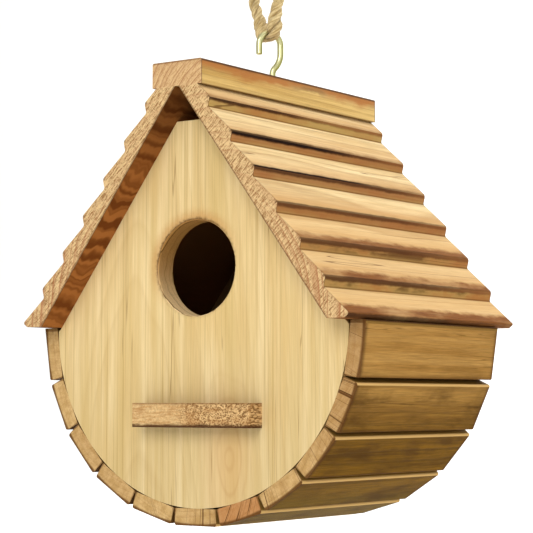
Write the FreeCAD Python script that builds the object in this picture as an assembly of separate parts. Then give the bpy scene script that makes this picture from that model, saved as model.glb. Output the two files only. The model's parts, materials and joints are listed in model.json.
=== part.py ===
"""Hanging wooden birdhouse with a teardrop front, a barrel of slats and a stepped gable roof.

Units are millimetres, +Z is up, the front faces -Y and the ridge runs along Y.
The origin is the point where the two strands of the hanging rope meet under their knot.
The house hangs plumb below it, so most heights are worked out from the centre of the
round lower half of the panels, called the hub here.
"""
import FreeCAD, Part
import math
import os

V = FreeCAD.Vector
X_AXIS = V(1, 0, 0)
Y_AXIS = V(0, 1, 0)
Z_AXIS = V(0, 0, 1)

# Overall sizes
BODY_RADIUS = 85.0        # round lower half of the panels
BODY_DEPTH = 120.0        # front face of the front panel to back face of the back panel
PANEL_THICK = 11.0

# Panels
SHOULDER_ROUND = 2.5      # corner where the sloped edge meets the round edge
PANEL_TOP_GAP = 14.0      # flat top of a panel below the cap, left open for air
ENTRANCE_DIA = 45.0
ENTRANCE_RISE = 26.8      # centre of the entrance above the hub
HOLE_EASE = 0.8           # rounded rims of the entrance and the clean-out

# Slats
SLAT_COUNT = 11
SLAT_THICK = 8.0
SLAT_JOINT = 0.35         # gap between the inner corners of two slats
SLAT_EASE = 1.0           # rounded outer corners
TOP_SLAT_EXTRA = 4.0      # the two top slats are this much wider, then planed level under the eaves
TOP_SLAT_GAP = 0.2        # between a top slat and the eave
TOP_SLAT_EASE = 0.5

# Roof
ROOF_PITCH = 53.3         # degrees
ROOF_OVERHANG = 15.0      # past the panels at the front and at the back
EAVE_RISE = 0.7           # underside of the eaves above the hub
EAVE_INSET = 2.05         # inner edge of the eaves inside the round edge of the panels
COURSE_COUNT = 7
FIRST_NOSE = 17.8         # from the apex to the first nose, along the slope
EAVE_NOSE = 6.2           # last nose past the inner edge of the eave, along the slope
NOSE_HEIGHT = 10.7        # thickness of the board at a nose
NOTCH_HEIGHT = 7.0        # thickness just below a nose
NOTCH_RUN = 3.1           # how far a nose slopes back down to its notch
NOSE_EASE = 2.2
NOTCH_EASE = 1.5
EAVE_EASE = 0.9           # on the last nose
LAST_COURSE_TRIM = 0.6    # planed off the last nose

# Ridge cap
CAP_WIDTH = 28.8
CAP_THICK = 11.8
CAP_BED_DROP = 1.4        # underside of the cap below the crossing of the inner roof planes
CAP_EASE = 0.8

# Perch
PERCH_LENGTH = 68.0
PERCH_HEIGHT = 11.3
PERCH_DEPTH = 10.0
PERCH_SIDE = 3.9          # its middle is this far to the right of the entrance
PERCH_TOP_DROP = 36.2     # top of the perch below the hub
PERCH_EASE = 0.7

# Screw hook
WIRE_DIA = 3.1
EYE_RADIUS = 5.8          # centre line of the arch
EYE_RISE = 19.3           # centre of the arch above the cap
EYE_OFFSET = 1.5          # arch centre in front of the shank, in the plane of the hook
TIP_DROP = 5.3            # straight tip below the arch centre
BACK_DROP = 4.1           # straight back below the arch centre
UPPER_BEND = 10.5
LOWER_BEND = 4.9
HOOK_TURN = 30.0          # plane of the hook turned away from the ridge, degrees
SHANK_Y = 2.1             # puts the arch over the middle of the weight
THREAD_LENGTH = 11.0
THREAD_PITCH = 1.25
THREAD_DEPTH = 0.45
PILOT_CLEARANCE = 0.05    # lets the hook turn in its hole

# Hanging rope
LOOP_HEIGHT = 50.6        # seat of the hook below the knot
ROPE_DIA = 5.5
ROPE_SEAT_GAP = 0.4       # between the rope and the wire of the arch
ROPE_PLANE_TURN = -15.0   # plane of the rope loop turned away from X, degrees
KNOT_DIA = 19.0
KNOT_HEIGHT = 20.0
KNOT_BED_DIA = 12.4
TAIL_LENGTH = 14.0
TAIL_SPREAD = 14.0        # degrees

# Clean-out
CLEANOUT_DIA = 50.0
CLEANOUT_DROP = 28.0      # centre of the clean-out below the hub
COVER_LAP = 8.0           # how far the cover laps over the opening
COVER_THICK = 8.0
COVER_GAP = 0.3           # running gap in front of and behind the cover
COVER_EASE = 1.0
PIVOT_DIA = 3.5
PIVOT_CLEARANCE = 0.06
PIVOT_HEAD_DIA = 8.5
PIVOT_HEAD_HEIGHT = 2.6
PIVOT_BITE = 9.0
RECESS_SPAN = 4.6         # cross recess in the head of the pivot screw
RECESS_WIDTH = 1.0
RECESS_DEPTH = 1.5

# Hidden fasteners
PIN_DIA = 1.2
PIN_CLEARANCE = 0.05
PIN_BITE = 9.0            # how far a pin goes into what it holds on to
PIN_SKIN = 1.8            # wood left over the end of a pin
SLAT_PIN_SPAN = 11.0      # between the two pins at one end of a slat
ROOF_PIN_COUNT = 3        # along one sloped edge of a panel
ROOF_PIN_TOP = 36.0       # first pin from the apex, along the slope
ROOF_PIN_FOOT = 18.8      # last pin from the eave, along the slope
CAP_PIN_COUNT = 4         # along one side of the cap
CAP_PIN_END = 15.0        # first and last pin from the ends of the cap
CAP_PIN_SIDE = 6.5
CAP_PIN_BITE = 5.5
PERCH_SCREW_DIA = 3.0
PERCH_SCREW_SPAN = 36.0
PERCH_SCREW_HEAD_DIA = 6.0
PERCH_SCREW_HEAD = 1.8
PERCH_SCREW_BITE = 7.0
SCREW_CLEARANCE = 0.05

# Worked out from the sizes above, from the knot down
SLOPE = math.radians(ROOF_PITCH)
ROOF_LENGTH = BODY_DEPTH + 2 * ROOF_OVERHANG
SEAT_Z = -LOOP_HEIGHT
ARCH_TOP_Z = SEAT_Z + WIRE_DIA / 2 + ROPE_SEAT_GAP + ROPE_DIA / 2
EYE_Z = ARCH_TOP_Z - EYE_RADIUS
CAP_TOP_Z = EYE_Z - EYE_RISE
CAP_BED_Z = CAP_TOP_Z - CAP_THICK
APEX_Z = CAP_BED_Z + CAP_BED_DROP
EAVE_X = BODY_RADIUS - EAVE_INSET
EAVE_Z = APEX_Z - EAVE_X * math.tan(SLOPE)
HUB_Z = EAVE_Z - EAVE_RISE
SLOPE_LENGTH = EAVE_X / math.cos(SLOPE)
COURSE_PITCH = (SLOPE_LENGTH + EAVE_NOSE - FIRST_NOSE) / (COURSE_COUNT - 1)
FRONT_Y = -BODY_DEPTH / 2
BACK_Y = BODY_DEPTH / 2
HOOK_DIR = V(math.sin(math.radians(HOOK_TURN)), math.cos(math.radians(HOOK_TURN)), 0)
EYE_CENTRE = V(0, SHANK_Y, EYE_Z) - HOOK_DIR * EYE_OFFSET
CLEANOUT_Z = HUB_Z - CLEANOUT_DROP
COVER_DIA = CLEANOUT_DIA + 2 * COVER_LAP
PIVOT_Z = CLEANOUT_Z + CLEANOUT_DIA / 2 + COVER_LAP / 2
PIN_HOLE_RADIUS = PIN_DIA / 2 + PIN_CLEARANCE
SLAT_STEP = math.pi / SLAT_COUNT
PERCH_TOP_Z = HUB_Z - PERCH_TOP_DROP


def save(name, solids):
    """Write one node, which may be a group of like solids."""
    shape = solids[0] if len(solids) == 1 else Part.Compound(solids)
    shape.exportStep("parts/" + name + ".step")
    print(name, len(solids), "solid(s)", round(shape.Volume / 1000.0, 2), "cm3")


def face_of(edges):
    """Flat face inside a closed run of edges."""
    return Part.Face(Part.Wire(edges))


def polygon_face(points):
    """Flat face inside a closed run of points."""
    return Part.Face(Part.makePolygon(points + [points[0]]))


def rod(start, direction, length, radius):
    """Plain round rod from one point along a direction."""
    return Part.makeCylinder(radius, length, start, direction)


def eased(solid, radius, wanted):
    """Round the edges of a solid that the test picks."""
    edges = [edge for edge in solid.Edges if wanted(edge)]
    return solid.makeFillet(radius, edges) if edges else solid


def runs_along_y(edge):
    """True for an edge parallel to the ridge."""
    box = edge.BoundBox
    return box.YLength > 1.0 and box.XLength < 1e-6 and box.ZLength < 1e-6


def on_slope(run, height):
    """Point of the right roof slope: run from the apex down the slope, height above its inner plane."""
    x = run * math.cos(SLOPE) + height * math.sin(SLOPE)
    z = APEX_Z - run * math.sin(SLOPE) + height * math.cos(SLOPE)
    return V(x, 0, z)


def slope_x(z):
    """Half width of the space under the roof at a height."""
    return (APEX_Z - z) / math.tan(SLOPE)


def spread(first, last, count):
    """Evenly spaced places from the first to the last."""
    return [first + (last - first) * i / (count - 1) for i in range(count)]


def mirrored(shape):
    """The same piece on the other side of the house."""
    return shape.mirror(V(0, 0, 0), X_AXIS)


# --- panels ---------------------------------------------------------------

def shoulder_points():
    """Where the sloped edge of a panel ends and where its round edge begins, on the right side."""
    fall = math.asin(EAVE_RISE / BODY_RADIUS) * 2
    low = V(BODY_RADIUS * math.cos(fall), 0, HUB_Z - BODY_RADIUS * math.sin(fall))
    return V(EAVE_X, 0, EAVE_Z), low


def panel_outline():
    """Teardrop outline: a flat top, two sloped edges and a round lower half."""
    corner, low = shoulder_points()
    top_z = CAP_BED_Z - PANEL_TOP_GAP
    top = V(slope_x(top_z), 0, top_z)
    left = [V(-p.x, 0, p.z) for p in (top, corner, low)]
    bottom = V(0, 0, HUB_Z - BODY_RADIUS)
    edges = [
        Part.LineSegment(left[0], top).toShape(),
        Part.LineSegment(top, corner).toShape(),
        Part.LineSegment(corner, low).toShape(),
        Part.Arc(low, bottom, left[2]).toShape(),
        Part.LineSegment(left[2], left[1]).toShape(),
        Part.LineSegment(left[1], left[0]).toShape(),
    ]
    return face_of(edges)


def panel_blank(front_y):
    """Panel with eased shoulders and the holes for its pins, before its openings."""
    corner, low = shoulder_points()

    def shoulder(edge):
        at = edge.CenterOfMass
        return runs_along_y(edge) and abs(abs(at.x) - corner.x) < 0.01 and abs(at.z - corner.z) < 0.01

    blank = panel_outline().extrude(Y_AXIS * PANEL_THICK)
    blank.translate(Y_AXIS * front_y)
    blank = eased(blank, SHOULDER_ROUND, shoulder)
    middle_y = front_y + PANEL_THICK / 2
    holes = [slat_pin(at, middle_y, PIN_HOLE_RADIUS) for at in slat_pin_places()]
    holes += [roof_pin(side, run, middle_y, PIN_HOLE_RADIUS) for side, run in roof_pin_places()]
    return blank.cut(Part.Compound(holes))


def rim_eased(panel, y, z, radius):
    """Round the rim of an opening at one face of a panel."""
    def rim(edge):
        at = edge.CenterOfMass
        on_face = edge.BoundBox.YLength < 1e-6 and abs(at.y - y) < 1e-6
        return on_face and abs(at.x) < 0.01 and abs(at.z - z) < 0.01 and edge.BoundBox.XLength > radius
    return eased(panel, HOLE_EASE, rim)


def make_front_panel():
    """Front panel with the entrance and the two clearance holes of the perch screws."""
    entrance_z = HUB_Z + ENTRANCE_RISE
    panel = panel_blank(FRONT_Y)
    panel = panel.cut(rod(V(0, FRONT_Y, entrance_z), Y_AXIS, PANEL_THICK, ENTRANCE_DIA / 2))
    panel = rim_eased(panel, FRONT_Y, entrance_z, ENTRANCE_DIA / 2)
    holes = [perch_screw_shank(x, SCREW_CLEARANCE) for x in perch_screw_places()]
    return panel.cut(Part.Compound(holes))


def make_back_panel():
    """Back panel with the clean-out and the blind hole of the pivot screw."""
    panel = panel_blank(BACK_Y - PANEL_THICK)
    panel = panel.cut(rod(V(0, BACK_Y, CLEANOUT_Z), -Y_AXIS, PANEL_THICK, CLEANOUT_DIA / 2))
    panel = rim_eased(panel, BACK_Y, CLEANOUT_Z, CLEANOUT_DIA / 2)
    bite = PIVOT_BITE + SCREW_CLEARANCE
    return panel.cut(rod(V(0, BACK_Y, PIVOT_Z), -Y_AXIS, bite, PIVOT_DIA / 2 + SCREW_CLEARANCE))


# --- slats ----------------------------------------------------------------

def slat_angle(index):
    """Direction from the hub to the middle of a slat, from the right shoulder round the bottom."""
    return -(index + 0.5) * SLAT_STEP


def slat_frame(angle):
    """Outward direction of a slat and the direction across its width."""
    return V(math.cos(angle), 0, math.sin(angle)), V(-math.sin(angle), 0, math.cos(angle))


def make_slat(index):
    """Flat board that touches the round edges of both panels along its middle."""
    outward, across = slat_frame(slat_angle(index))
    if across.z < 0:
        across = -across
    half = BODY_RADIUS * math.tan(SLAT_STEP / 2) - SLAT_JOINT / 2
    is_top = index in (0, SLAT_COUNT - 1)
    upper = half + TOP_SLAT_EXTRA if is_top else half
    inner = V(0, FRONT_Y, HUB_Z) + outward * BODY_RADIUS
    corners = [inner - across * half, inner + across * upper]
    corners += [p + outward * SLAT_THICK for p in reversed(corners)]
    board = polygon_face(corners).extrude(Y_AXIS * BODY_DEPTH)

    def outer(edge):
        at = edge.CenterOfMass - V(0, 0, HUB_Z)
        return runs_along_y(edge) and at.x * outward.x + at.z * outward.z > BODY_RADIUS + SLAT_THICK / 2

    board = eased(board, SLAT_EASE, outer)
    if is_top:
        board = planed_level(board)
    pins = []
    for place in slat_pin_places():
        if place[0] == index:
            pins += [slat_pin(place, y, PIN_HOLE_RADIUS) for y in panel_middles()]
    return board.cut(Part.Compound(pins))


def planed_level(board):
    """Top slat with its upper edge cut level, just under the eave."""
    top_z = EAVE_Z - TOP_SLAT_GAP
    reach = BODY_RADIUS + 2 * SLAT_THICK
    waste = Part.makeBox(2 * reach, 2 * BODY_DEPTH, 4 * SLAT_THICK, V(-reach, -BODY_DEPTH, top_z))
    board = board.cut(waste)
    widest = max(abs(edge.CenterOfMass.x) for edge in board.Edges if abs(edge.CenterOfMass.z - top_z) < 0.01)

    def arris(edge):
        at = edge.CenterOfMass
        return runs_along_y(edge) and abs(at.z - top_z) < 0.01 and abs(at.x) > widest - 0.01

    return eased(board, TOP_SLAT_EASE, arris)


def panel_middles():
    """Middle planes of the front and the back panel."""
    return FRONT_Y + PANEL_THICK / 2, BACK_Y - PANEL_THICK / 2


def slat_pin_places():
    """Slat number and sideways offset of every pin at one end of the barrel."""
    return [(i, side * SLAT_PIN_SPAN / 2) for i in range(SLAT_COUNT) for side in (-1, 1)]


def slat_pin(place, y, radius):
    """Headless pin through a slat into the rim of a panel, or the hole for it."""
    outward, across = slat_frame(slat_angle(place[0]))
    start = V(0, y, HUB_Z) + outward * (BODY_RADIUS + SLAT_THICK - PIN_SKIN) + across * place[1]
    return rod(start, -outward, SLAT_THICK - PIN_SKIN + PIN_BITE, radius)


# --- roof -----------------------------------------------------------------

def nose_runs():
    """Run of every nose down the slope."""
    runs = [FIRST_NOSE + course * COURSE_PITCH for course in range(COURSE_COUNT)]
    runs[-1] -= LAST_COURSE_TRIM
    return runs


def roof_profile():
    """Section of the right roof board, milled into courses like lapped boards."""
    rise = (NOSE_HEIGHT - NOTCH_HEIGHT) / (COURSE_PITCH - NOTCH_RUN)
    head_height = NOSE_HEIGHT - rise * FIRST_NOSE
    head_run = head_run_at(head_height, rise)
    points = [V(slope_x(CAP_BED_Z), 0, CAP_BED_Z), on_slope(head_run, head_height + rise * head_run)]
    for nose in nose_runs()[:-1]:
        points += [on_slope(nose, NOSE_HEIGHT), on_slope(nose + NOTCH_RUN, NOTCH_HEIGHT)]
    last = nose_runs()[-1]
    return points + [on_slope(last, NOSE_HEIGHT), eave_point(last), V(EAVE_X, 0, EAVE_Z)]


def head_run_at(head_height, rise):
    """Where the face of the first course meets the plane under the cap."""
    drop = CAP_BED_Z - APEX_Z
    return (drop - head_height * math.cos(SLOPE)) / (rise * math.cos(SLOPE) - math.sin(SLOPE))


def eave_point(nose):
    """Foot of the last nose, cut off level with the eave."""
    height = (EAVE_Z - APEX_Z + nose * math.sin(SLOPE)) / math.cos(SLOPE)
    return on_slope(nose, height)


def roof_pin(side, run, y, radius):
    """Headless pin through a roof board into the sloped edge of a panel, or the hole for it."""
    cover = NOTCH_HEIGHT - PIN_SKIN
    top = on_slope(run, cover)
    down = on_slope(run, 0) - on_slope(run, 1)
    start = V(side * top.x, y, top.z)
    return rod(start, V(side * down.x, 0, down.z), cover + PIN_BITE, radius)


def roof_pin_places():
    """Side and run down the slope of every pin at one panel."""
    runs = spread(ROOF_PIN_TOP, SLOPE_LENGTH - ROOF_PIN_FOOT, ROOF_PIN_COUNT)
    return [(side, run) for side in (-1, 1) for run in runs]


def cap_pin(side, y, radius):
    """Upright headless pin from the cap into the top edge of a roof board, or the hole for it."""
    start = V(side * CAP_PIN_SIDE, y, CAP_TOP_Z - PIN_SKIN)
    return rod(start, -Z_AXIS, CAP_THICK - PIN_SKIN + CAP_PIN_BITE, radius)


def cap_pin_places():
    """Side and station along the ridge of every cap pin."""
    end = ROOF_LENGTH / 2 - CAP_PIN_END
    return [(side, y) for side in (-1, 1) for y in spread(-end, end, CAP_PIN_COUNT)]


def make_right_roof():
    """Right roof board; the left one is its mirror image."""
    board = polygon_face(roof_profile()).extrude(Y_AXIS * ROOF_LENGTH)
    board.translate(Y_AXIS * (-ROOF_LENGTH / 2))
    runs = nose_runs()
    noses = [on_slope(run, NOSE_HEIGHT) for run in runs[:-1]]
    notches = [on_slope(run + NOTCH_RUN, NOTCH_HEIGHT) for run in runs[:-1]]

    def along(corners):
        """Picks the edges along the board that start from these corners of its section."""
        def picked(edge):
            at = edge.CenterOfMass
            return runs_along_y(edge) and any(math.hypot(at.x - p.x, at.z - p.z) < 0.01 for p in corners)
        return picked

    board = eased(board, NOSE_EASE, along(noses))
    board = eased(board, NOTCH_EASE, along(notches))
    board = eased(board, EAVE_EASE, along([on_slope(runs[-1], NOSE_HEIGHT)]))
    places = [(run, y) for side, run in roof_pin_places() if side > 0 for y in panel_middles()]
    holes = [roof_pin(1, run, y, PIN_HOLE_RADIUS) for run, y in places]
    holes += [cap_pin(side, y, PIN_HOLE_RADIUS) for side, y in cap_pin_places() if side > 0]
    return board.cut(Part.Compound(holes))


def make_ridge_cap():
    """Square bar over both roof boards, with the pilot hole of the screw hook."""
    corner = V(-CAP_WIDTH / 2, -ROOF_LENGTH / 2, CAP_BED_Z)
    cap = Part.makeBox(CAP_WIDTH, ROOF_LENGTH, CAP_THICK, corner)
    cap = eased(cap, CAP_EASE, lambda e: runs_along_y(e) and e.CenterOfMass.z > CAP_TOP_Z - 1)
    holes = [cap_pin(side, y, PIN_HOLE_RADIUS) for side, y in cap_pin_places()]
    holes.append(rod(V(0, SHANK_Y, CAP_TOP_Z), -Z_AXIS, THREAD_LENGTH + PILOT_CLEARANCE, pilot_radius()))
    return cap.cut(Part.Compound(holes))


# --- perch ----------------------------------------------------------------

def perch_screw_places():
    """Sideways places of the two perch screws."""
    return PERCH_SIDE - PERCH_SCREW_SPAN / 2, PERCH_SIDE + PERCH_SCREW_SPAN / 2


def perch_screw_shank(x, clearance):
    """Shank of a perch screw, driven from inside, or the hole for it."""
    start = V(x, FRONT_Y + PANEL_THICK, PERCH_TOP_Z - PERCH_HEIGHT / 2)
    length = PANEL_THICK + PERCH_SCREW_BITE + clearance
    return rod(start, -Y_AXIS, length, PERCH_SCREW_DIA / 2 + clearance)


def make_perch_screw(x):
    """Screw with a low round head against the inner face of the front panel."""
    start = V(x, FRONT_Y + PANEL_THICK, PERCH_TOP_Z - PERCH_HEIGHT / 2)
    head = rod(start, Y_AXIS, PERCH_SCREW_HEAD, PERCH_SCREW_HEAD_DIA / 2)
    return head.fuse(perch_screw_shank(x, 0.0)).removeSplitter()


def make_perch():
    """Short square bar flat against the front panel."""
    corner = V(PERCH_SIDE - PERCH_LENGTH / 2, FRONT_Y - PERCH_DEPTH, PERCH_TOP_Z - PERCH_HEIGHT)
    bar = Part.makeBox(PERCH_LENGTH, PERCH_DEPTH, PERCH_HEIGHT, corner)
    bar = eased(bar, PERCH_EASE, lambda e: e.CenterOfMass.y < FRONT_Y - PERCH_DEPTH + 0.01)
    return bar.cut(Part.Compound([perch_screw_shank(x, SCREW_CLEARANCE) for x in perch_screw_places()]))


# --- screw hook -----------------------------------------------------------

def pilot_radius():
    """Radius of the hole that the thread turns in."""
    return WIRE_DIA / 2 + PILOT_CLEARANCE


def hook_point(along, z):
    """Point in the plane of the hook, measured from the centre of its arch."""
    return V(EYE_CENTRE.x, EYE_CENTRE.y, z) + HOOK_DIR * along


def arc_about(centre, radius, start, middle, end):
    """Arc in the plane of the hook; angles in degrees, 0 is away from the tip and 90 is up."""
    points = []
    for angle in (start, middle, end):
        turn = math.radians(angle)
        points.append(hook_point(centre[0] + radius * math.cos(turn), centre[1] + radius * math.sin(turn)))
    return Part.Arc(points[0], points[1], points[2]).toShape()


def hook_path():
    """Centre line of the wire from the tip, over the arch and down to the wood."""
    back_shift = EYE_RADIUS - EYE_OFFSET
    bend = math.degrees(math.acos(1 - back_shift / (UPPER_BEND + LOWER_BEND)))
    upper = (EYE_RADIUS - UPPER_BEND, EYE_Z - BACK_DROP)
    drop = (UPPER_BEND + LOWER_BEND) * math.sin(math.radians(bend))
    lower = (EYE_OFFSET + LOWER_BEND, upper[1] - drop)
    foot_z = min(lower[1], CAP_TOP_Z + WIRE_DIA)
    tip = hook_point(-EYE_RADIUS, EYE_Z - TIP_DROP)
    neck = hook_point(EYE_OFFSET, lower[1])
    foot = hook_point(EYE_OFFSET, foot_z - WIRE_DIA)
    edges = [
        Part.LineSegment(tip, hook_point(-EYE_RADIUS, EYE_Z)).toShape(),
        arc_about((0, EYE_Z), EYE_RADIUS, 180, 90, 0),
        Part.LineSegment(hook_point(EYE_RADIUS, EYE_Z), hook_point(EYE_RADIUS, upper[1])).toShape(),
        arc_about(upper, UPPER_BEND, 0, -bend / 2, -bend),
        arc_about(lower, LOWER_BEND, 180 - bend, 180 - bend / 2, 180),
        Part.LineSegment(neck, foot).toShape(),
    ]
    return Part.Wire(edges), foot_z - WIRE_DIA


def thread_solid(top_z):
    """Shank below the bends: a plain neck, then ridges that taper to a point."""
    outer = WIRE_DIA / 2
    root = outer - THREAD_DEPTH
    tip_z = CAP_TOP_Z - THREAD_LENGTH
    points = [V(0, 0, top_z), V(outer, 0, top_z), V(outer, 0, CAP_TOP_Z - THREAD_PITCH)]
    ridges = int((THREAD_LENGTH - 3 * THREAD_PITCH) / THREAD_PITCH)
    z = CAP_TOP_Z - THREAD_PITCH
    for _ in range(ridges):
        points.append(V(root, 0, z - THREAD_PITCH * 0.35))
        points.append(V(root, 0, z - THREAD_PITCH * 0.65))
        z -= THREAD_PITCH
        points.append(V(outer, 0, z))
    points.append(V(root, 0, z - THREAD_PITCH * 0.35))
    points.append(V(0, 0, tip_z))
    return polygon_face(points).revolve(V(0, 0, 0), Z_AXIS, 360)


def make_hook():
    """Question-mark hook of round wire with a wood screw thread."""
    path, neck_z = hook_path()
    start = hook_point(-EYE_RADIUS, EYE_Z - TIP_DROP)
    section = Part.Wire(Part.Circle(start, Z_AXIS, WIRE_DIA / 2).toShape())
    wire = path.makePipeShell([section], True, True)
    shank = thread_solid(neck_z)
    shank.translate(V(0, SHANK_Y, 0))
    hook = wire.fuse(shank).removeSplitter()
    tip = [edge for edge in hook.Edges
           if edge.Length < math.pi * WIRE_DIA * 1.01 and edge.CenterOfMass.distanceToPoint(start) < 0.01]
    return hook.makeFillet(WIRE_DIA * 0.2, tip)


# --- hanging rope ---------------------------------------------------------

# Route of the rope in its own plane: sideways from the seat of the hook and height above it.
# It runs from inside the knot down to the hook and back up.
ROPE_ROUTE = (
    (-2.3, 53.6), (-5.2, 44.6), (-10.2, 36.1), (-11.4, 23.6), (-7.9, 11.6), (-4.7, 0.0),
    (4.7, 0.0), (6.2, 11.6), (8.0, 23.6), (8.6, 36.1), (5.9, 44.6), (3.6, 53.6),
)


def rope_points():
    """Points of the route in space."""
    turn = math.radians(ROPE_PLANE_TURN)
    sideways = V(math.cos(turn), math.sin(turn), 0)
    seat = V(EYE_CENTRE.x, EYE_CENTRE.y, SEAT_Z)
    return [seat + sideways * along + Z_AXIS * height for along, height in ROPE_ROUTE]


def rounded_path(points):
    """Straight runs joined by the largest tangent arcs that they leave room for."""
    edges = []
    start = points[0]
    for before, at, after in zip(points, points[1:], points[2:]):
        inward = (at - before).normalize()
        outward = (after - at).normalize()
        half = inward.getAngle(outward) / 2
        reach = 0.45 * min(at.distanceToPoint(before), after.distanceToPoint(at))
        radius = reach / math.tan(half)
        enter = at - inward * reach
        leave = at + outward * reach
        bisector = (outward - inward).normalize()
        middle = at + bisector * (radius / math.cos(half) - radius)
        edges.append(Part.LineSegment(start, enter).toShape())
        edges.append(Part.Arc(enter, middle, leave).toShape())
        print("rope arc radius", round(radius, 1), "turn", round(math.degrees(2 * half), 1))
        start = leave
    edges.append(Part.LineSegment(start, points[-1]).toShape())
    return Part.Wire(edges)


def make_rope():
    """Rope from the knot, under the arch of the hook and back to the knot."""
    points = rope_points()
    path = rounded_path(points)
    along = (points[1] - points[0]).normalize()
    section = Part.Wire(Part.Circle(points[0], along, ROPE_DIA / 2).toShape())
    rope = path.makePipeShell([section], True, True)
    ideal = math.pi * ROPE_DIA ** 2 / 4 * path.Length
    print("rope length", round(path.Length, 1), "volume ratio", round(rope.Volume / ideal, 4))
    return rope


def make_knot():
    """Tight round knot with two short tails."""
    bed = KNOT_BED_DIA / 2
    bulge = V(KNOT_DIA / 2, 0, KNOT_HEIGHT / 2)
    edges = [
        Part.LineSegment(V(0, 0, 0), V(bed, 0, 0)).toShape(),
        Part.Arc(V(bed, 0, 0), bulge, V(bed, 0, KNOT_HEIGHT)).toShape(),
        Part.LineSegment(V(bed, 0, KNOT_HEIGHT), V(0, 0, KNOT_HEIGHT)).toShape(),
        Part.LineSegment(V(0, 0, KNOT_HEIGHT), V(0, 0, 0)).toShape(),
    ]
    knot = face_of(edges).revolve(V(0, 0, 0), Z_AXIS, 360)
    for side in (-1, 1):
        lean = math.radians(TAIL_SPREAD) * side
        direction = V(math.sin(lean), 0, math.cos(lean))
        foot = V(side * ROPE_DIA * 0.56, 0, KNOT_HEIGHT - ROPE_DIA)
        knot = knot.fuse(rod(foot, direction, TAIL_LENGTH + ROPE_DIA, ROPE_DIA / 2))
    return knot.removeSplitter()


# --- clean-out ------------------------------------------------------------

def make_cover():
    """Round cover that hangs from the pivot screw and turns aside."""
    front_y = BACK_Y + COVER_GAP
    disc = rod(V(0, front_y, CLEANOUT_Z), Y_AXIS, COVER_THICK, COVER_DIA / 2)
    disc = eased(disc, COVER_EASE, lambda e: e.BoundBox.YLength < 1e-6)
    bore = rod(V(0, front_y, PIVOT_Z), Y_AXIS, COVER_THICK, PIVOT_DIA / 2 + PIVOT_CLEARANCE)
    return disc.cut(bore)


def make_pivot_screw():
    """Round-headed screw with a cross recess, through the cover into the back panel."""
    head = PIVOT_HEAD_DIA / 2
    head_y = BACK_Y + COVER_THICK + 2 * COVER_GAP
    shank_length = head_y - BACK_Y + PIVOT_BITE
    shank = rod(V(0, head_y, PIVOT_Z), -Y_AXIS, shank_length, PIVOT_DIA / 2)
    ball_radius = (head ** 2 + PIVOT_HEAD_HEIGHT ** 2) / (2 * PIVOT_HEAD_HEIGHT)
    ball = Part.makeSphere(ball_radius, V(0, head_y + PIVOT_HEAD_HEIGHT - ball_radius, PIVOT_Z))
    dome = ball.common(rod(V(0, head_y, PIVOT_Z), Y_AXIS, PIVOT_HEAD_HEIGHT, PIVOT_HEAD_DIA))
    screw = shank.fuse(dome).removeSplitter()
    foot_y = head_y + PIVOT_HEAD_HEIGHT - RECESS_DEPTH
    slots = []
    for wide, high in ((RECESS_SPAN, RECESS_WIDTH), (RECESS_WIDTH, RECESS_SPAN)):
        corner = V(-wide / 2, foot_y, PIVOT_Z - high / 2)
        slots.append(Part.makeBox(wide, RECESS_DEPTH + 1, high, corner))
    return screw.cut(slots[0].fuse(slots[1]))


def main():
    """Make every node of the birdhouse."""
    os.makedirs("parts", exist_ok=True)
    save("front_panel", [make_front_panel()])
    save("back_panel", [make_back_panel()])
    for index in range(SLAT_COUNT):
        save("slat_%02d" % (index + 1), [make_slat(index)])
    right_roof = make_right_roof()
    save("roof_board_right", [right_roof])
    save("roof_board_left", [mirrored(right_roof)])
    save("ridge_cap", [make_ridge_cap()])
    save("perch", [make_perch()])
    save("perch_screws", [make_perch_screw(x) for x in perch_screw_places()])
    pin_radius = PIN_DIA / 2
    for end, y in zip(("front", "back"), panel_middles()):
        save("slat_pins_" + end, [slat_pin(place, y, pin_radius) for place in slat_pin_places()])
        pins = [roof_pin(side, run, y, pin_radius) for side, run in roof_pin_places()]
        save("roof_pins_" + end, pins)
    save("cap_pins", [cap_pin(side, y, pin_radius) for side, y in cap_pin_places()])
    save("screw_hook", [make_hook()])
    save("hanging_rope", [make_rope()])
    save("rope_knot", [make_knot()])
    save("cleanout_cover", [make_cover()])
    save("pivot_screw", [make_pivot_screw()])


main()
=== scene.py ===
"""Looks of a hanging wooden birdhouse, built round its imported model."""

import json
import math
import random

import bmesh
import bpy
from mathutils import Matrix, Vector


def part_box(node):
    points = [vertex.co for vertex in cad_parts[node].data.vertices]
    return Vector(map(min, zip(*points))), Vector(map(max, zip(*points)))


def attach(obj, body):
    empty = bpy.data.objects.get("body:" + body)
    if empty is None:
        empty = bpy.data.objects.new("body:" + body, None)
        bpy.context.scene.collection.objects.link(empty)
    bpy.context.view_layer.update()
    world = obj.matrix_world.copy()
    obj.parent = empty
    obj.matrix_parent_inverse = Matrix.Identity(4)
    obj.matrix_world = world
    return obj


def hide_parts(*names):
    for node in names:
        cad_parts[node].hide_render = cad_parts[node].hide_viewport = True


bl_info = {
    "name": "Hanging birdhouse",
    "version": (1, 0, 0),
    "blender": (4, 5, 0),
    "location": "View3D > Sidebar > Birdhouse",
    "description": "Finishes, rope and stage of a hanging wooden birdhouse",
    "category": "Object",
}

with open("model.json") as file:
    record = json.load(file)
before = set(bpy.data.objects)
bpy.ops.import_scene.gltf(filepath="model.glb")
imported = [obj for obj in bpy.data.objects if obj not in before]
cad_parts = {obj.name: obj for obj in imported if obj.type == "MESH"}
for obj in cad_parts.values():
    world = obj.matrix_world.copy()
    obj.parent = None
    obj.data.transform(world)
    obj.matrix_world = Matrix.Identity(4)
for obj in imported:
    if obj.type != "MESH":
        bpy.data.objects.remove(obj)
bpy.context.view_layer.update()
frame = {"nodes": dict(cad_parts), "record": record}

MM = 0.001

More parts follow.
